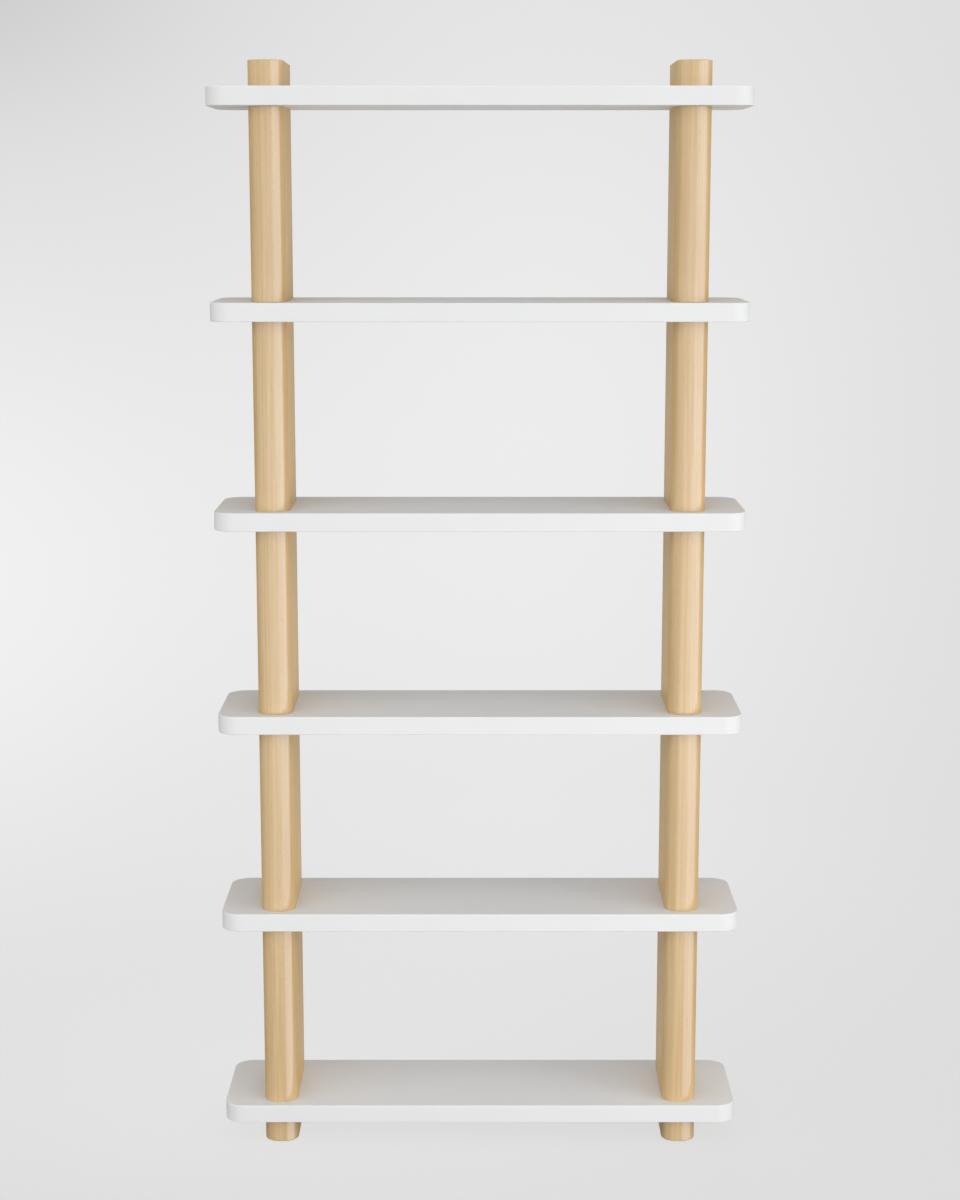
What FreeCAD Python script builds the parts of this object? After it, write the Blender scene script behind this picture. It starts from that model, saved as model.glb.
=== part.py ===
# An open bookshelf: six lacquered shelves stacked between lengths of two wooden posts.
# Millimetres. The front faces -Y, +Z is up, and the origin is on the floor under the middle.
import FreeCAD, Part
import math
import os

# Shelf boards
shelf_width = 914.4
shelf_depth = 219.0
shelf_thickness = 31.75
shelf_corner_radius = 33.0
shelf_edge_radius = 1.5
shelf_pitch = 356.2
shelf_names = ["bottom_shelf", "shelf_2", "shelf_3", "shelf_4", "shelf_5", "top_shelf"]

# Wooden posts, whose section is a long rounded rectangle set back from both shelf edges
post_centre_x = 357.5
post_width = 59.5
post_margin = 17.0
post_corner_radius = 25.0
post_end_chamfer = 0.6
foot_height = 43.4
foot_edge_radius = 2.0
cap_height = 43.2
cap_edge_radius = 1.5

# Ties: two lines of M8 rod in each post
tie_offset_y = 60.0
thread_diameter = 8.0
clearance_diameter = 9.0
rod_end_gap = 1.0
hexagon_across_flats = 13.0
bolt_length = 75.0
bolt_head_height = 5.3
nut_height = 6.8
coupling_length = 24.0
washer_diameter = 24.0
washer_bore = 8.4
washer_thickness = 2.0

# Pockets for the hardware
pocket_diameter = 26.0
pocket_spare = 1.0
foot_pocket_depth = 16.0

# Dowels between the two ties of each post
dowel_offset_y = 28.0
dowel_diameter = 10.0
dowel_length = 60.0
dowel_end_chamfer = 1.0
dowel_hole_spare = 0.9

# Floor glides, pressed into the foot pockets
glide_diameter = 34.0
glide_thickness = 3.0
glide_standout = 1.0
glide_edge_radius = 0.8
glide_spigot_length = 4.0

# Heights that follow from the sizes above
post_depth = shelf_depth - 2 * post_margin
post_length = shelf_pitch - shelf_thickness
foot_bottom_z = glide_standout
first_shelf_z = foot_bottom_z + foot_height
shelf_bottoms = [first_shelf_z + k * shelf_pitch for k in range(len(shelf_names))]
shelf_tops = [z + shelf_thickness for z in shelf_bottoms]
bolt_head_z = foot_bottom_z + foot_pocket_depth - washer_thickness
bolt_end_z = bolt_head_z + bolt_length
rod_length = shelf_pitch - rod_end_gap
first_rod_z = bolt_end_z + rod_end_gap
coupling_pocket_depth = washer_thickness + coupling_length + pocket_spare
dowel_hole_depth = (dowel_length - shelf_thickness) / 2 + dowel_hole_spare
top_rod_end_z = first_rod_z + (len(shelf_names) - 1) * shelf_pitch - rod_end_gap
cap_pocket_depth = top_rod_end_z - shelf_tops[-1] + pocket_spare

# Plan positions
sides = {"left": -post_centre_x, "right": post_centre_x}
tie_points = [(x, y) for x in sides.values() for y in (-tie_offset_y, tie_offset_y)]
dowel_points = [(x, y) for x in sides.values() for y in (-dowel_offset_y, dowel_offset_y)]


def cylinder(diameter, length, x, y, z):
    return Part.makeCylinder(diameter / 2, length, FreeCAD.Vector(x, y, z))


def hexagon(across_flats, height, x, y, z):
    """A hexagonal prism standing on z, with two flats facing the front and back."""
    corner = across_flats / math.sqrt(3)
    points = []
    for step in range(7):
        angle = math.radians(60 * step)
        points.append(FreeCAD.Vector(x + corner * math.cos(angle), y + corner * math.sin(angle), z))
    return Part.Face(Part.makePolygon(points)).extrude(FreeCAD.Vector(0, 0, height))


def rounded_block(width, depth, height, radius, x, z):
    """A block centred on x and on y = 0, with its upright corners rounded."""
    corner = FreeCAD.Vector(x - width / 2, -depth / 2, z)
    block = Part.makeBox(width, depth, height, corner)
    uprights = [e for e in block.Edges if e.BoundBox.ZLength > height / 2]
    return block.makeFillet(radius, uprights)


def edges_at(shape, z):
    """The edges that lie flat at one height."""
    return [e for e in shape.Edges if abs(e.BoundBox.ZMin - z) < 0.001 and e.BoundBox.ZLength < 0.001]


def drilled(shape, diameter, points, z, depth):
    """The shape with a round hole at each plan point, from z upwards."""
    return shape.cut([cylinder(diameter, depth, x, y, z) for x, y in points])


def near(points, x):
    """The plan points that belong to the post at x."""
    return [point for point in points if point[0] == x]


def shelf(z):
    board = rounded_block(shelf_width, shelf_depth, shelf_thickness, shelf_corner_radius, 0, z)
    rims = edges_at(board, z) + edges_at(board, z + shelf_thickness)
    board = board.makeFillet(shelf_edge_radius, rims)
    board = drilled(board, clearance_diameter, tie_points, z, shelf_thickness)
    return drilled(board, dowel_diameter, dowel_points, z, shelf_thickness)


def post_block(height, x, z):
    return rounded_block(post_width, post_depth, height, post_corner_radius, x, z)


def post_length_between_shelves(x, z):
    """One storey of a post: ties run through it, and its foot is bored for washer and coupling nut."""
    block = post_block(post_length, x, z)
    block = block.makeChamfer(post_end_chamfer, edges_at(block, z) + edges_at(block, z + post_length))
    ties, dowels = near(tie_points, x), near(dowel_points, x)
    block = drilled(block, clearance_diameter, ties, z, post_length)
    block = drilled(block, pocket_diameter, ties, z, coupling_pocket_depth)
    block = drilled(block, dowel_diameter, dowels, z, dowel_hole_depth)
    return drilled(block, dowel_diameter, dowels, z + post_length - dowel_hole_depth, dowel_hole_depth)


def foot(x):
    """The block under the bottom shelf, with stepped pockets for a glide, a bolt head and its washer."""
    block = post_block(foot_height, x, foot_bottom_z)
    block = block.makeFillet(foot_edge_radius, edges_at(block, foot_bottom_z))
    block = block.makeChamfer(post_end_chamfer, edges_at(block, first_shelf_z))
    ties, dowels = near(tie_points, x), near(dowel_points, x)
    block = drilled(block, clearance_diameter, ties, foot_bottom_z, foot_height)
    block = drilled(block, pocket_diameter, ties, foot_bottom_z, foot_pocket_depth)
    block = drilled(block, glide_diameter, ties, foot_bottom_z, glide_thickness - glide_standout)
    return drilled(block, dowel_diameter, dowels, first_shelf_z - dowel_hole_depth, dowel_hole_depth)


def cap(x):
    """The block on the top shelf, held by dowels and hollowed over the two top nuts."""
    z = shelf_tops[-1]
    block = post_block(cap_height, x, z)
    block = block.makeFillet(cap_edge_radius, edges_at(block, z + cap_height))
    block = block.makeChamfer(post_end_chamfer, edges_at(block, z))
    block = drilled(block, pocket_diameter, near(tie_points, x), z, cap_pocket_depth)
    return drilled(block, dowel_diameter, near(dowel_points, x), z, dowel_hole_depth)


def washer(x, y, z):
    disc = cylinder(washer_diameter, washer_thickness, x, y, z)
    return disc.cut(cylinder(washer_bore, washer_thickness, x, y, z))


def threaded_hexagon(height, x, y, z):
    """A nut or coupling, its bore plain at the thread's size."""
    return hexagon(hexagon_across_flats, height, x, y, z).cut(cylinder(thread_diameter, height, x, y, z))


def tie_bolt(x, y):
    head = hexagon(hexagon_across_flats, bolt_head_height, x, y, bolt_head_z - bolt_head_height)
    return head.fuse(cylinder(thread_diameter, bolt_length, x, y, bolt_head_z)).removeSplitter()


def dowel(x, y, z):
    """A dowel with chamfered ends, its middle at z."""
    low = z - dowel_length / 2
    rod = cylinder(dowel_diameter, dowel_length, x, y, low)
    return rod.makeChamfer(dowel_end_chamfer, edges_at(rod, low) + edges_at(rod, low + dowel_length))


def floor_glide(x, y):
    """A flange that stands on the floor, and the spigot that presses into the foot's pocket."""
    flange = cylinder(glide_diameter, glide_thickness, x, y, 0)
    flange = flange.makeFillet(glide_edge_radius, edges_at(flange, 0))
    spigot = cylinder(pocket_diameter, glide_spigot_length, x, y, glide_thickness)
    return flange.fuse(spigot).removeSplitter()


def save(node, *solids):
    shape = solids[0] if len(solids) == 1 else Part.makeCompound(list(solids))
    if not shape.isValid():
        raise ValueError(node + " isn't a valid shape")
    shape.exportStep("parts/" + node + ".step")
    print(node, len(shape.Solids), "solids,", round(shape.Volume / 1000, 1), "cubic centimetres")


os.makedirs("parts", exist_ok=True)

for name, bottom in zip(shelf_names, shelf_bottoms):
    save(name, shelf(bottom))

for side, x in sides.items():
    save(side + "_foot", foot(x))
    for storey, top in enumerate(shelf_tops[:-1], start=1):
        save(side + "_post_" + str(storey), post_length_between_shelves(x, top))
    save(side + "_cap", cap(x))

storeys = range(len(shelf_names) - 1)
washer_heights = [bolt_head_z] + shelf_tops
save("tie_bolts", *[tie_bolt(x, y) for x, y in tie_points])
save("tie_rods", *[cylinder(thread_diameter, rod_length, x, y, first_rod_z + k * shelf_pitch)
                   for x, y in tie_points for k in storeys])
save("coupling_nuts", *[threaded_hexagon(coupling_length, x, y, shelf_tops[k] + washer_thickness)
                        for x, y in tie_points for k in storeys])
save("clamp_washers", *[washer(x, y, z) for x, y in tie_points for z in washer_heights])
save("top_nuts", *[threaded_hexagon(nut_height, x, y, shelf_tops[-1] + washer_thickness)
                   for x, y in tie_points])
save("locating_dowels", *[dowel(x, y, z + shelf_thickness / 2)
                          for x, y in dowel_points for z in shelf_bottoms])
save("floor_glides", *[floor_glide(x, y) for x, y in tie_points])

print("overall height", round(shelf_tops[-1] + cap_height, 2))
print("thread in each coupling nut, below and above", round(bolt_end_z - shelf_tops[0] - washer_thickness, 2),
      round(shelf_tops[0] + washer_thickness + coupling_length - first_rod_z, 2))
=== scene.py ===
# An open bookshelf: six white lacquered boards on two posts of light wood, in a plain pale studio.
import bpy
import math
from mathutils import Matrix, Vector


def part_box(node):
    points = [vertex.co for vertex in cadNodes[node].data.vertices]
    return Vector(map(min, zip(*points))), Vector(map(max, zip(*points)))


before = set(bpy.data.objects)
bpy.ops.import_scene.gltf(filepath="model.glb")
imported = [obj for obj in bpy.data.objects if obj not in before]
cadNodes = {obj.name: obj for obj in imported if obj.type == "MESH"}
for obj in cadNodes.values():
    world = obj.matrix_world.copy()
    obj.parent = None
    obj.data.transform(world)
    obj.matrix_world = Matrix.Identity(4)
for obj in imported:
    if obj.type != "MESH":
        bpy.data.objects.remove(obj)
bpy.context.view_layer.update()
print("frame loaded:", len(cadNodes), "nodes")


# Small helpers for building node trees

def feed(tree, socket, value):
    if isinstance(value, bpy.types.NodeSocket):
        tree.links.new(value, socket)
    else:
        socket.default_value = value


def addNode(tree, kind, inputs=None, **settings):
    node = tree.nodes.new("ShaderNode" + kind)
    for name, value in settings.items():
        setattr(node, name, value)
    for name, value in (inputs or {}).items():
        feed(tree, node.inputs[name], value)
    return node


def calc(tree, operation, *terms):
    return addNode(tree, "Math", dict(enumerate(terms)), operation=operation).outputs[0]


def vectorCalc(tree, operation, *terms):
    node = addNode(tree, "VectorMath", dict(enumerate(terms)), operation=operation)
    return node.outputs["Value" if operation == "LENGTH" else "Vector"]


def splitUp(tree, vector):
    return addNode(tree, "SeparateXYZ", {0: vector}).outputs


def ease(tree, value, low, high, start=0.0, end=1.0):  # a soft step from start to end
    node = addNode(tree, "MapRange", {"Value": value, "From Min": low, "From Max": high,
                                      "To Min": start, "To Max": end}, interpolation_type="SMOOTHSTEP")
    return node.outputs["Result"]


def noise(tree, vector, scale, detail, output="Fac"):
    return addNode(tree, "TexNoise", {"Vector": vector, "Scale": scale, "Detail": detail}).outputs[output]


def blendColour(tree, amount, first, second):
    return addNode(tree, "Mix", {0: amount, 6: first, 7: second}, data_type="RGBA").outputs[2]


def tint(tree, mask, share, colour, towards):  # takes a colour part of the way to another, by a mask
    return blendColour(tree, calc(tree, "MULTIPLY", mask, share), colour, towards)


def newGroup(name, inputs, outputs):
    group = bpy.data.node_groups.new(name, "ShaderNodeTree")
    for label, kind in inputs.items():
        group.interface.new_socket(label, in_out="INPUT", socket_type="NodeSocket" + kind)
    for label in outputs:
        group.interface.new_socket(label, in_out="OUTPUT", socket_type="NodeSocketFloat")
    return group, group.nodes.new("NodeGroupInput").outputs, group.nodes.new("NodeGroupOutput").inputs


def useGroup(tree, group, inputs):
    node = tree.nodes.new("ShaderNodeGroup")
    node.node_tree = group
    for name, value in inputs.items():
        feed(tree, node.inputs[name], value)
    return node.outputs


def rgb(*colour):
    return (*colour, 1.0)


# Effects shared by the materials. A noise is given as its scale and detail, and a range as the two ends of
# a soft step.

def makePieceEdges():  # where a block with rounded corners has its rims, and its two end faces
    endSoftness = 0.0004
    inputs = {"Vector": "Vector", "Half Size": "Vector", "Corner Radius": "Float", "Band": "Float"}
    group, given, result = newGroup("pieceEdges", inputs, ["Edge", "End"])
    radius = given["Corner Radius"]
    band = given["Band"]
    reach = vectorCalc(group, "ABSOLUTE", given["Vector"])
    inset = splitUp(group, vectorCalc(group, "SUBTRACT", given["Half Size"], reach))
    cornerX = calc(group, "MAXIMUM", calc(group, "SUBTRACT", radius, inset["X"]), 0.0)
    cornerY = calc(group, "MAXIMUM", calc(group, "SUBTRACT", radius, inset["Y"]), 0.0)
    squares = calc(group, "ADD", calc(group, "POWER", cornerX, 2.0), calc(group, "POWER", cornerY, 2.0))
    fromSide = calc(group, "SUBTRACT", radius, calc(group, "SQRT", squares))
    nearSide = ease(group, fromSide, band, 0.0)
    nearEnd = ease(group, inset["Z"], band, 0.0)
    feed(group, result["Edge"], calc(group, "MULTIPLY", nearSide, nearEnd))
    endLead = calc(group, "SUBTRACT", fromSide, inset["Z"])
    feed(group, result["End"], ease(group, endLead, -endSoftness, endSoftness))
    return group


grainPattern = {
    "alongGrain": 0.05,  # a pattern's scale along Z, as a share of its scale across
    "alongFibre": 0.02,
    "alongPore": 0.09,
    "swayNoise": (9.0, 2.0),
    "unevenNoise": (28.0, 2.0),
    "unevenRings": 2.2,
    "lateWoodRange": (0.25, 0.92),
    "ringEndRange": (1.0, 0.94),
    "faintestRing": 0.4,
    "broadNoise": (42.0, 3.0),
    "broadRange": (0.32, 0.68),
    "broadShare": 0.6,
    "narrowNoise": (150.0, 2.0),
    "narrowRange": (0.3, 0.7),
    "fibreNoise": (1100.0, 2.0),
    "fibreHeight": 0.6,
    "poreNoise": (1500.0, 1.0),
    "poreRange": (0.62, 0.72),
    "earlyWoodPores": 0.5,
    "poreDepth": 0.5,
    "ringHeight": 0.25,
}


def makeWoodGrain():  # growth rings round a pith, drawn out along Z, with streaks, fibres and pores
    pattern = grainPattern
    inputs = {"Vector": "Vector", "Pith": "Vector", "Ring Spacing": "Float", "Waviness": "Float"}
    group, given, result = newGroup("woodGrain", inputs, ["Rings", "Streaks", "Fibres", "Pores", "Relief"])
    place = given["Vector"]
    drawn = vectorCalc(group, "MULTIPLY", place, (1.0, 1.0, pattern["alongGrain"]))
    fibreDrawn = vectorCalc(group, "MULTIPLY", place, (1.0, 1.0, pattern["alongFibre"]))
    poreDrawn = vectorCalc(group, "MULTIPLY", place, (1.0, 1.0, pattern["alongPore"]))
    swayTone = noise(group, drawn, *pattern["swayNoise"], output="Color")
    sway = vectorCalc(group, "SUBTRACT", swayTone, (0.5, 0.5, 0.5))
    waviness = addNode(group, "CombineXYZ", {0: given["Waviness"], 1: given["Waviness"]}).outputs[0]
    swayed = vectorCalc(group, "ADD", place, vectorCalc(group, "MULTIPLY", sway, waviness))
    fromPith = vectorCalc(group, "SUBTRACT", swayed, given["Pith"])
    ringRadius = vectorCalc(group, "LENGTH", vectorCalc(group, "MULTIPLY", fromPith, (1.0, 1.0, 0.0)))
    ringCount = calc(group, "DIVIDE", ringRadius, given["Ring Spacing"])
    uneven = calc(group, "MULTIPLY", noise(group, drawn, *pattern["unevenNoise"]), pattern["unevenRings"])
    rings = calc(group, "ADD", ringCount, uneven)
    within = calc(group, "FRACT", rings)
    darkening = ease(group, within, *pattern["lateWoodRange"])
    lateWood = calc(group, "MULTIPLY", darkening, ease(group, within, *pattern["ringEndRange"]))
    ringTone = addNode(group, "TexWhiteNoise", {"W": calc(group, "FLOOR", rings)}, noise_dimensions="1D")
    faintest = pattern["faintestRing"]
    ringStrength = calc(group, "MULTIPLY_ADD", ringTone.outputs["Value"], 1.0 - faintest, faintest)
    ringMask = calc(group, "MULTIPLY", lateWood, ringStrength)
    broad = ease(group, noise(group, drawn, *pattern["broadNoise"]), *pattern["broadRange"])
    narrow = ease(group, noise(group, drawn, *pattern["narrowNoise"]), *pattern["narrowRange"])
    narrowPart = calc(group, "MULTIPLY", narrow, 1.0 - pattern["broadShare"])
    fibres = noise(group, fibreDrawn, *pattern["fibreNoise"])
    poreSpots = ease(group, noise(group, poreDrawn, *pattern["poreNoise"]), *pattern["poreRange"])
    inEarlyWood = pattern["earlyWoodPores"]
    poreShare = calc(group, "MULTIPLY_ADD", lateWood, 1.0 - inEarlyWood, inEarlyWood)
    pores = calc(group, "MULTIPLY", poreSpots, poreShare)
    fibreRelief = calc(group, "MULTIPLY", fibres, pattern["fibreHeight"])
    relief = calc(group, "SUBTRACT", fibreRelief, calc(group, "MULTIPLY", pores, pattern["poreDepth"]))
    feed(group, result["Rings"], ringMask)
    feed(group, result["Streaks"], calc(group, "MULTIPLY_ADD", broad, pattern["broadShare"], narrowPart))
    feed(group, result["Fibres"], fibres)
    feed(group, result["Pores"], pores)
    feed(group, result["Relief"], calc(group, "MULTIPLY_ADD", ringMask, pattern["ringHeight"], relief))
    return group


sprayPattern = {
    "cloudNoise": (7.0, 3.0),
    "cloudRange": (0.3, 0.7),
    "peelDetail": 1.0,
    "finePeelScale": 4.0,  # this and the nibs' scale are in times the peel's own
    "finePeelHeight": 0.35,
    "nibScale": 2.2,
    "nibDetail": 0.0,
    "nibRange": (0.8, 0.86),
}


def makeSprayedCoat():  # what a spray gun leaves: slow cloudiness, a fine orange peel and a little dust nib
    pattern = sprayPattern
    inputs = {"Vector": "Vector", "Peel Scale": "Float"}
    group, given, result = newGroup("sprayedCoat", inputs, ["Cloud", "Peel", "Nibs"])
    place = given["Vector"]
    scale = given["Peel Scale"]
    cloud = noise(group, place, *pattern["cloudNoise"])
    peel = noise(group, place, scale, pattern["peelDetail"])
    fineScale = calc(group, "MULTIPLY", scale, pattern["finePeelScale"])
    finePeel = noise(group, place, fineScale, pattern["peelDetail"])
    nibs = noise(group, place, calc(group, "MULTIPLY", scale, pattern["nibScale"]), pattern["nibDetail"])
    feed(group, result["Cloud"], ease(group, cloud, *pattern["cloudRange"]))
    feed(group, result["Peel"], calc(group, "MULTIPLY_ADD", finePeel, pattern["finePeelHeight"], peel))
    feed(group, result["Nibs"], ease(group, nibs, *pattern["nibRange"]))
    return group


handlingPattern = {
    "rubbedAlongX": 0.35,
    "rubbedNoise": (22.0, 5.0),
    "rubbedRange": (0.55, 0.75),
    "dustNoise": (60.0, 6.0),
    "dustRange": (0.45, 0.8),
}


def makeHandling():  # faint rub marks and settled dust
    pattern = handlingPattern
    group, given, result = newGroup("handling", {"Vector": "Vector"}, ["Rubbed", "Dust"])
    place = given["Vector"]
    stretched = vectorCalc(group, "MULTIPLY", place, (pattern["rubbedAlongX"], 1.0, 1.0))
    rubbed = noise(group, stretched, *pattern["rubbedNoise"])
    dust = noise(group, place, *pattern["dustNoise"])
    feed(group, result["Rubbed"], ease(group, rubbed, *pattern["rubbedRange"]))
    feed(group, result["Dust"], ease(group, dust, *pattern["dustRange"]))
    return group


pieceEdges = makePieceEdges()
woodGrain = makeWoodGrain()
sprayedCoat = makeSprayedCoat()
handling = makeHandling()
print("shared effects built")


# Helpers for finishing a piece

def placeFrom(tree, centre):  # the place on the object, measured from a centre
    place = addNode(tree, "TexCoord").outputs["Object"]
    return addNode(tree, "Mapping", {"Vector": place, "Location": [-part for part in centre]}).outputs[0]


def newMaterial(name, centre=(0.0, 0.0, 0.0)):  # a plain material whose pattern is centred on a piece
    material = bpy.data.materials.new(name)
    material.use_nodes = True
    tree = material.node_tree
    tree.nodes.clear()
    surface = addNode(tree, "BsdfPrincipled")
    addNode(tree, "OutputMaterial", {"Surface": surface.outputs[0]})
    return material, tree, surface.inputs, placeFrom(tree, centre)


def findEdges(tree, place, half, finish):
    return useGroup(tree, pieceEdges, {"Vector": place, "Half Size": half, "Band": finish["edgeBand"],
                                       "Corner Radius": finish["cornerRadius"]})


def growWood(tree, place, pith, finish):
    return useGroup(tree, woodGrain, {"Vector": place, "Pith": pith, "Ring Spacing": finish["ringSpacing"],
                                      "Waviness": finish["waviness"]})


def addBump(tree, sockets, height, depth):
    bump = addNode(tree, "Bump", {"Height": height, "Distance": depth})
    feed(tree, sockets["Normal"], bump.outputs[0])


satinFade = {"from": 0.2, "to": 0.62}  # on a scale from head on, 0, to glancing, 1


# A clear satin coat, which fades out towards a glancing angle so that the edges stay quiet
def satin(tree, sockets, weight, roughness, ior):
    facing = addNode(tree, "LayerWeight", {"Blend": 0.5}).outputs["Facing"]
    quiet = ease(tree, facing, satinFade["from"], satinFade["to"], 1.0, 0.0)
    feed(tree, sockets["Coat Weight"], calc(tree, "MULTIPLY", weight, quiet))
    sockets["Coat Roughness"].default_value = roughness
    sockets["Coat IOR"].default_value = ior


def middleOf(name):  # a node's middle and half its size
    low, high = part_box(name)
    return (low + high) / 2, (high - low) / 2


def paint(name, material):
    for slot in cadNodes[name].material_slots:
        slot.material = material


# White lacquered boards

boardFinish = {
    "white": rgb(0.817, 0.819, 0.824),
    "cloudWhite": rgb(0.804, 0.805, 0.808),
    # a lighter white for the dust nibs, and for a painted highlight along the boards' rims
    "nibAndHighlightWhite": rgb(0.86, 0.86, 0.855),
    "edgeHighlightShare": 0.6,
    "nibShare": 0.25,
    "roughness": 0.5,
    "rubbedRoughness": -0.05,
    "dustRoughness": 0.08,
    "bareGloss": 0.012,
    "coat": 0.2,
    "coatRoughness": 0.28,
    "coatIor": 1.5,
    "cornerRadius": 0.033,
    "edgeBand": 0.004,
    "peelScale": 320.0,
    "peelDepth": 0.000006,
    "nibHeight": 0.6,
}


def lacquerBoard(name):
    finish = boardFinish
    centre, half = middleOf(name)
    material, tree, surface, place = newMaterial("lacquer_" + name, centre)
    edges = findEdges(tree, place, half, finish)
    coat = useGroup(tree, sprayedCoat, {"Vector": place, "Peel Scale": finish["peelScale"]})
    marks = useGroup(tree, handling, {"Vector": place})
    colour = blendColour(tree, coat["Cloud"], finish["white"], finish["cloudWhite"])
    # painted highlight: the rims round each board's top and bottom are tinted lighter than the white, as if
    # light caught the rounded edge
    colour = tint(tree, edges["Edge"], finish["edgeHighlightShare"], colour, finish["nibAndHighlightWhite"])
    colour = tint(tree, coat["Nibs"], finish["nibShare"], colour, finish["nibAndHighlightWhite"])
    feed(tree, surface["Base Color"], colour)
    settled = calc(tree, "MULTIPLY", marks["Dust"], edges["End"])
    dull = calc(tree, "MULTIPLY_ADD", marks["Rubbed"], finish["rubbedRoughness"], finish["roughness"])
    feed(tree, surface["Roughness"], calc(tree, "MULTIPLY_ADD", settled, finish["dustRoughness"], dull))
    satin(tree, surface, finish["coat"], finish["coatRoughness"], finish["coatIor"])
    surface["Specular IOR Level"].default_value = finish["bareGloss"]
    height = calc(tree, "MULTIPLY_ADD", coat["Nibs"], finish["nibHeight"], coat["Peel"])
    addBump(tree, surface, height, finish["peelDepth"])
    paint(name, material)


boards = [name for name in cadNodes if "shelf" in name]
for board in boards:
    lacquerBoard(board)
print("boards lacquered:", len(boards))


# Light wooden posts, with their feet and caps

woodFinish = {
    "pale": rgb(0.69, 0.492, 0.256),
    "honey": rgb(0.612, 0.413, 0.186),
    "ring": rgb(0.54, 0.34, 0.138),
    "pore": rgb(0.353, 0.21, 0.094),
    "endGrain": rgb(0.51, 0.33, 0.146),
    "worn": rgb(0.71, 0.53, 0.292),
    "ringShare": 0.42,
    "poreShare": 0.45,
    "endShare": 0.4,
    "endRingShare": 0.34,
    "wornShare": 0.3,
    "pith": {"left": (-0.05, 0.085, 0.0), "right": (0.065, 0.07, 0.0)},
    "ringSpacing": 0.0031,
    "waviness": 0.012,
    "roughness": 0.34,
    "fibreRoughness": 0.12,
    "endRoughness": 0.1,
    "coat": 1.0,
    "endCoat": -0.4,
    "poreCoat": -0.2,
    "coatRoughness": 0.19,
    "coatIor": 1.8,
    "bareGloss": 0.02,
    "cornerRadius": 0.025,
    "edgeBand": 0.003,
    "reliefDepth": 0.00006,
}


def finishWood(name):
    finish = woodFinish
    centre, half = middleOf(name)
    side = name.split("_")[0]
    material, tree, surface, place = newMaterial("wood_" + name, centre)
    onPost = placeFrom(tree, (centre.x, 0.0, 0.0))  # so that the grain runs on from piece to piece
    edges = findEdges(tree, place, half, finish)
    grain = growWood(tree, onPost, finish["pith"][side], finish)
    endRings = calc(tree, "MULTIPLY", edges["End"], grain["Rings"])
    colour = blendColour(tree, grain["Streaks"], finish["pale"], finish["honey"])
    colour = tint(tree, grain["Rings"], finish["ringShare"], colour, finish["ring"])
    colour = tint(tree, grain["Pores"], finish["poreShare"], colour, finish["pore"])
    colour = tint(tree, edges["End"], finish["endShare"], colour, finish["endGrain"])
    colour = tint(tree, endRings, finish["endRingShare"], colour, finish["pore"])
    colour = tint(tree, edges["Edge"], finish["wornShare"], colour, finish["worn"])
    feed(tree, surface["Base Color"], colour)
    dull = calc(tree, "MULTIPLY_ADD", grain["Fibres"], finish["fibreRoughness"], finish["roughness"])
    feed(tree, surface["Roughness"], calc(tree, "MULTIPLY_ADD", edges["End"], finish["endRoughness"], dull))
    coat = calc(tree, "MULTIPLY_ADD", edges["End"], finish["endCoat"], finish["coat"])
    coat = calc(tree, "MULTIPLY_ADD", grain["Pores"], finish["poreCoat"], coat)
    satin(tree, surface, coat, finish["coatRoughness"], finish["coatIor"])
    surface["Specular IOR Level"].default_value = finish["bareGloss"]
    addBump(tree, surface, grain["Relief"], finish["reliefDepth"])
    paint(name, material)


woodPieces = [name for name in cadNodes if name.split("_")[0] in ("left", "right")]
for piece in woodPieces:
    finishWood(piece)
print("wooden pieces finished:", len(woodPieces))


# Hidden inside the posts: zinc-plated ties and bare dowels

postCentre = middleOf("right_foot")[0].x


# The angle round upright axes that stand so far in front of the posts' middles and behind them
def turnAround(tree, along, offset):
    across = calc(tree, "SUBTRACT", calc(tree, "ABSOLUTE", along["X"]), postCentre)
    forward = calc(tree, "SUBTRACT", calc(tree, "ABSOLUTE", along["Y"]), offset)
    return calc(tree, "ARCTAN2", forward, across)


tieFinish = {
    "zinc": rgb(0.62, 0.63, 0.64),
    "passivated": rgb(0.60, 0.58, 0.50),
    "bloomNoise": (90.0, 4.0),
    "bloomRange": (0.4, 0.7),
    "roughness": 0.24,
    "scratchRoughness": 0.2,
    "scratchNoise": (2200.0, 2.0),
    "scratchAlongZ": 0.1,
    "scratchDepth": 0.00002,
    "threadPitch": 0.00125,
    "threadDepth": 0.0007,
    "offset": 0.060,  # in front of a post's middle and behind it
}


def plateSteel(name, threaded):
    finish = tieFinish
    material, tree, surface, place = newMaterial("zinc_" + name)
    bloom = ease(tree, noise(tree, place, *finish["bloomNoise"]), *finish["bloomRange"])
    feed(tree, surface["Base Color"], blendColour(tree, bloom, finish["zinc"], finish["passivated"]))
    surface["Metallic"].default_value = 1.0
    drawn = vectorCalc(tree, "MULTIPLY", place, (1.0, 1.0, finish["scratchAlongZ"]))
    scratches = noise(tree, drawn, *finish["scratchNoise"])
    dull = calc(tree, "MULTIPLY_ADD", scratches, finish["scratchRoughness"], finish["roughness"])
    feed(tree, surface["Roughness"], dull)
    if threaded:
        along = splitUp(tree, place)
        turn = turnAround(tree, along, finish["offset"])
        hand = calc(tree, "MULTIPLY", calc(tree, "SIGN", along["X"]), calc(tree, "SIGN", along["Y"]))
        climbed = calc(tree, "DIVIDE", along["Z"], finish["threadPitch"])
        turns = calc(tree, "MULTIPLY_ADD", calc(tree, "MULTIPLY", turn, hand), -1 / math.tau, climbed)
        addBump(tree, surface, calc(tree, "PINGPONG", turns, 0.5), finish["threadDepth"])
    else:
        addBump(tree, surface, scratches, finish["scratchDepth"])
    paint(name, material)


for name, threaded in {"tie_rods": True, "tie_bolts": False, "coupling_nuts": False,
                       "clamp_washers": False, "top_nuts": False}.items():
    plateSteel(name, threaded)
print("ties plated")


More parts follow.
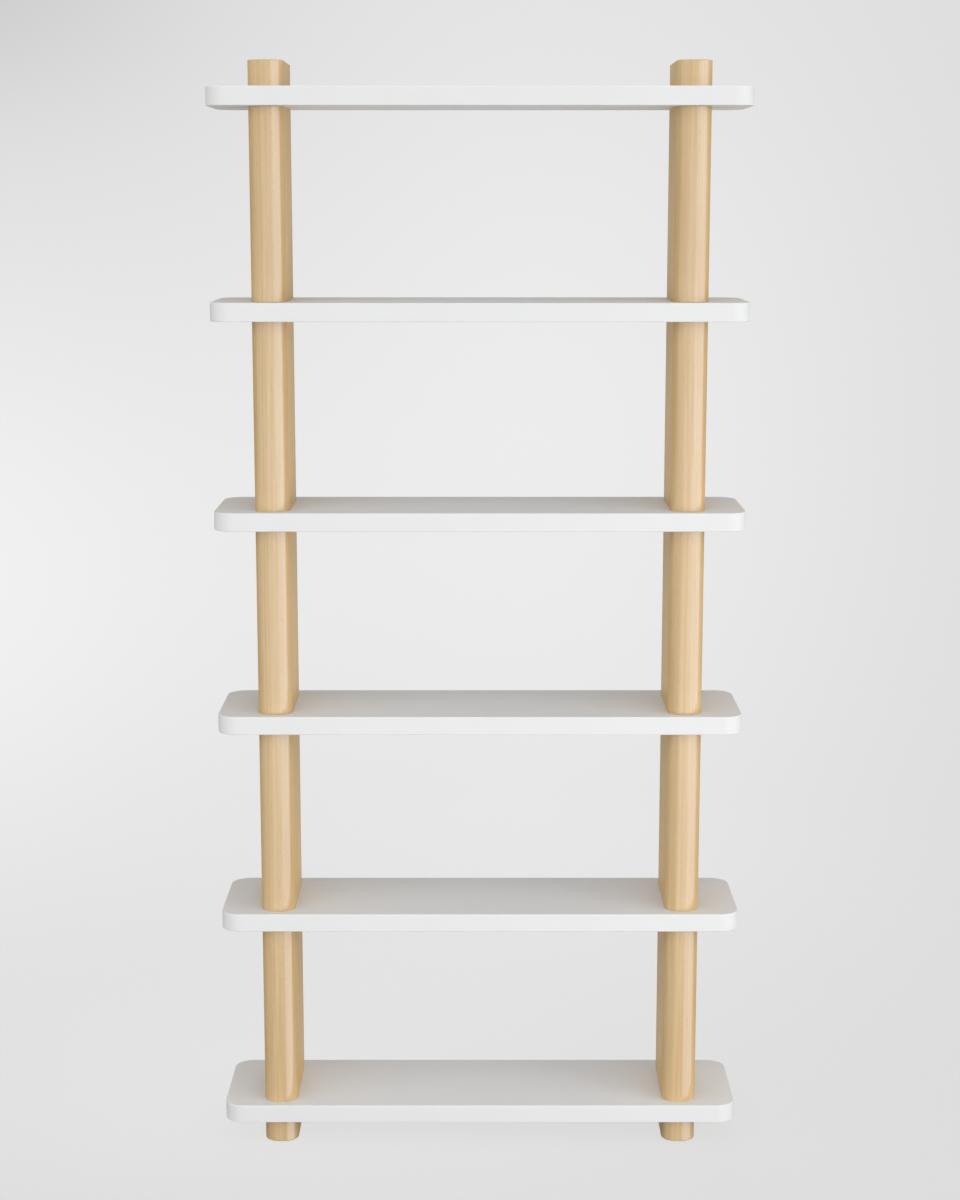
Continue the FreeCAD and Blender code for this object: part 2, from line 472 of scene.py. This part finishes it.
dowelFinish = {
    "pale": rgb(0.64, 0.46, 0.28),
    "dark": rgb(0.52, 0.34, 0.19),
    "ringTone": 0.6,
    "streakTone": 0.4,
    "pith": (0.03, 0.05, 0.0),
    "ringSpacing": 0.0024,
    "waviness": 0.004,
    "roughness": 0.62,
    "fibreRoughness": 0.15,
    "flutes": 20,
    "fluteDepth": 0.0003,
    "grainHeight": 0.3,
    "offset": 0.028,  # in front of a post's middle and behind it
}


def turnDowels(name):
    finish = dowelFinish
    material, tree, surface, place = newMaterial("bare_" + name)
    grain = growWood(tree, place, finish["pith"], finish)
    streaks = calc(tree, "MULTIPLY", grain["Streaks"], finish["streakTone"])
    tone = calc(tree, "MULTIPLY_ADD", grain["Rings"], finish["ringTone"], streaks)
    feed(tree, surface["Base Color"], blendColour(tree, tone, finish["pale"], finish["dark"]))
    dull = calc(tree, "MULTIPLY_ADD", grain["Fibres"], finish["fibreRoughness"], finish["roughness"])
    feed(tree, surface["Roughness"], dull)
    turn = turnAround(tree, splitUp(tree, place), finish["offset"])
    flutes = calc(tree, "MULTIPLY", turn, finish["flutes"] / math.tau)
    fluting = calc(tree, "PINGPONG", flutes, 0.5)
    height = calc(tree, "MULTIPLY_ADD", grain["Relief"], finish["grainHeight"], fluting)
    addBump(tree, surface, height, finish["fluteDepth"])
    paint(name, material)


turnDowels("locating_dowels")
print("dowels turned")


# Moulded plastic glides under the feet

glideFinish = {
    "plastic": rgb(0.16, 0.15, 0.14),
    "scuffed": rgb(0.26, 0.25, 0.24),
    "soleHeight": 0.0008,
    "sideScuffs": 0.15,
    "soleScuffs": 0.7,
    "roughness": 0.55,
    "scuffRoughness": 0.2,
    "textureNoise": (1800.0, 3.0),
    "textureDepth": 0.00008,
}


def mouldGlides(name):
    finish = glideFinish
    material, tree, surface, place = newMaterial("moulded_" + name)
    marks = useGroup(tree, handling, {"Vector": place})
    sole = ease(tree, splitUp(tree, place)["Z"], finish["soleHeight"], 0.0)
    share = calc(tree, "MULTIPLY_ADD", sole, finish["soleScuffs"], finish["sideScuffs"])
    scuffs = calc(tree, "MULTIPLY", marks["Rubbed"], share)
    feed(tree, surface["Base Color"], blendColour(tree, scuffs, finish["plastic"], finish["scuffed"]))
    dull = calc(tree, "MULTIPLY_ADD", scuffs, finish["scuffRoughness"], finish["roughness"])
    feed(tree, surface["Roughness"], dull)
    addBump(tree, surface, noise(tree, place, *finish["textureNoise"]), finish["textureDepth"])
    paint(name, material)


mouldGlides("floor_glides")
print("glides moulded")


# The studio: a pale floor that fades into a pale backdrop, and soft lamps

def backgroundRays(tree):  # the rays that see the backdrop, straight or by way of gloss or glass
    ray = addNode(tree, "LightPath").outputs
    passedOn = calc(tree, "MAXIMUM", ray["Is Glossy Ray"], ray["Is Transmission Ray"])
    return calc(tree, "MAXIMUM", ray["Is Camera Ray"], passedOn)


# The backdrop is a plain grey with soft spots, whose places are in degrees from straight ahead of the
# camera and from level. The soft values are its light on the object, from all round and from the front.
backdrop = {
    "grey": 0.713,
    "spots": [
        {"glow": 0.124, "azimuth": 1.9, "elevation": -6.3, "width": 9.3, "height": 13.8},
        {"glow": 0.170, "azimuth": -15.3, "elevation": -9.4, "width": 9.2, "height": 8.4},
        {"glow": 0.054, "azimuth": -6.4, "elevation": -22.2, "width": 9.2, "height": 2.7},
        {"glow": -0.12, "azimuth": -13.7, "elevation": 5.5, "width": 6.0, "height": 3.2},
    ],
    "softAll": 0.315,
    "softFromFront": 1.16,
}


def hangBackdrop():
    world = bpy.data.worlds.new("paleStudio")
    world.use_nodes = True
    bpy.context.scene.world = world
    tree = world.node_tree
    tree.nodes.clear()
    heading = splitUp(tree, addNode(tree, "TexCoord").outputs["Generated"])
    azimuth = calc(tree, "DEGREES", calc(tree, "ARCTAN2", heading["X"], heading["Y"]))
    elevation = calc(tree, "DEGREES", calc(tree, "ARCSINE", heading["Z"]))
    level = backdrop["grey"]
    for spot in backdrop["spots"]:
        across = calc(tree, "DIVIDE", calc(tree, "SUBTRACT", azimuth, spot["azimuth"]), spot["width"])
        upward = calc(tree, "DIVIDE", calc(tree, "SUBTRACT", elevation, spot["elevation"]), spot["height"])
        away = calc(tree, "ADD", calc(tree, "POWER", across, 2.0), calc(tree, "POWER", upward, 2.0))
        glow = calc(tree, "EXPONENT", calc(tree, "MULTIPLY", away, -1.0))
        level = calc(tree, "MULTIPLY_ADD", glow, spot["glow"], level)
    front = calc(tree, "MAXIMUM", calc(tree, "MULTIPLY", heading["Y"], -backdrop["softFromFront"]), 0.0)
    soft = calc(tree, "ADD", front, backdrop["softAll"])
    colour = blendColour(tree, backgroundRays(tree), soft, level)
    background = addNode(tree, "Background", {"Color": colour, "Strength": 1.0})
    addNode(tree, "OutputWorld", {"Surface": background.outputs[0]})


# The camera sees the floor faintly, with the shadow on it, and only near the bookshelf. Rays from gloss
# pass through it to the backdrop, and soft light bounces off all of it.
floorLook = {
    "radius": 9.0,
    "sides": 96,
    "pale": rgb(0.95, 0.95, 0.95),
    "bounce": rgb(0.38, 0.38, 0.375),
    "solidTo": 0.7,
    "goneBy": 2.6,
    "shadowShare": 0.1,
}


def layFloor():
    look = floorLook
    bpy.ops.object.select_all(action="DESELECT")
    bpy.ops.mesh.primitive_circle_add(vertices=look["sides"], radius=look["radius"], fill_type="NGON")
    floor = bpy.context.object
    floor.name = "studioFloor"
    material = bpy.data.materials.new("paleFloor")
    material.use_nodes = True
    tree = material.node_tree
    tree.nodes.clear()
    camera = addNode(tree, "LightPath").outputs["Is Camera Ray"]
    solid = addNode(tree, "BsdfDiffuse", {"Color": blendColour(tree, camera, look["bounce"], look["pale"])})
    clear = addNode(tree, "BsdfTransparent")
    away = vectorCalc(tree, "LENGTH", addNode(tree, "TexCoord").outputs["Object"])
    fade = ease(tree, away, look["goneBy"], look["solidTo"], 0.0, look["shadowShare"])
    facing = calc(tree, "SUBTRACT", 1.0, addNode(tree, "NewGeometry").outputs["Backfacing"])
    shown = calc(tree, "MULTIPLY", fade, calc(tree, "MULTIPLY", camera, facing))
    share = calc(tree, "MAXIMUM", shown, calc(tree, "SUBTRACT", 1.0, backgroundRays(tree)))
    mixed = addNode(tree, "MixShader", {0: share, 1: clear.outputs[0], 2: solid.outputs[0]})
    addNode(tree, "OutputMaterial", {"Surface": mixed.outputs[0]})
    floor.data.materials.append(material)


# Each panel faces the bookshelf from its azimuth, measured to the right of the camera's side. All stand
# upright but the one overhead, which looks straight down. Soft panels light the colours, and sheen panels
# are what the lacquer and the wood's finish mirror.
lamps = {
    "softRight": {"azimuth": 65.0, "distance": 3.6, "height": 1.0, "size": (1.9, 3.4), "glow": 1.85},
    "softLeft": {"azimuth": -65.0, "distance": 3.6, "height": 1.0, "size": (1.9, 3.4), "glow": 0.86},
    "softLowRight": {"azimuth": 60.0, "distance": 2.7, "height": 0.4, "size": (1.6, 1.0), "glow": 1.2},
    "softLow": {"azimuth": 10.0, "distance": 1.9, "height": 0.28, "size": (2.6, 0.32), "glow": 2.4},
    "softTop": {"azimuth": 0.0, "distance": 0.0, "height": 3.3, "size": (2.2, 0.4), "glow": 2.1,
                "tilt": 0.0},
    "softBack": {"azimuth": 180.0, "distance": 2.6, "height": 0.8, "size": (2.4, 1.4), "glow": 2.4},
    "sheenRight": {"azimuth": 53.0, "distance": 3.5, "height": 0.2, "size": (5.0, 5.6), "glow": 1.65,
                   "colour": (0.85, 0.98, 1.3)},
    "sheenFront": {"azimuth": 0.0, "distance": 4.2, "height": 0.4, "size": (3.2, 3.2), "glow": 0.8,
                   "colour": (0.85, 1.0, 1.2)},
    "sheenLeft": {"azimuth": -50.0, "distance": 3.5, "height": 1.2, "size": (3.0, 3.0), "glow": 0.3},
}


def hangLamp(name, lamp):
    light = bpy.data.lights.new(name, "AREA")
    light.shape = "RECTANGLE"
    light.size, light.size_y = lamp["size"]
    light.energy = lamp["glow"] * math.pi * light.size * light.size_y
    light.color = lamp.get("colour", (1.0, 1.0, 1.0))
    holder = bpy.data.objects.new(name, light)
    bpy.context.scene.collection.objects.link(holder)
    angle = math.radians(lamp["azimuth"])
    away = lamp["distance"]
    holder.location = (math.sin(angle) * away, -math.cos(angle) * away, lamp["height"])
    holder.rotation_euler = (math.radians(lamp.get("tilt", 90.0)), 0.0, angle)
    holder.visible_camera = False
    holder.visible_glossy = name.startswith("sheen")
    holder.visible_diffuse = name.startswith("soft")


cameraView = {"location": (0.0, -3.92121, 1.67471), "pitch": 10.1127, "focal": 67.652}  # pitched down


def placeCamera():
    camera = bpy.data.objects.new("shelfCamera", bpy.data.cameras.new("shelfCamera"))
    bpy.context.scene.collection.objects.link(camera)
    camera.location = cameraView["location"]
    camera.rotation_euler = (math.radians(90.0 - cameraView["pitch"]), 0.0, 0.0)
    camera.data.lens = cameraView["focal"]
    bpy.context.scene.camera = camera


hangBackdrop()
layFloor()
for name, lamp in lamps.items():
    hangLamp(name, lamp)
placeCamera()
bpy.context.scene.view_settings.view_transform = "Standard"
print("studio ready")
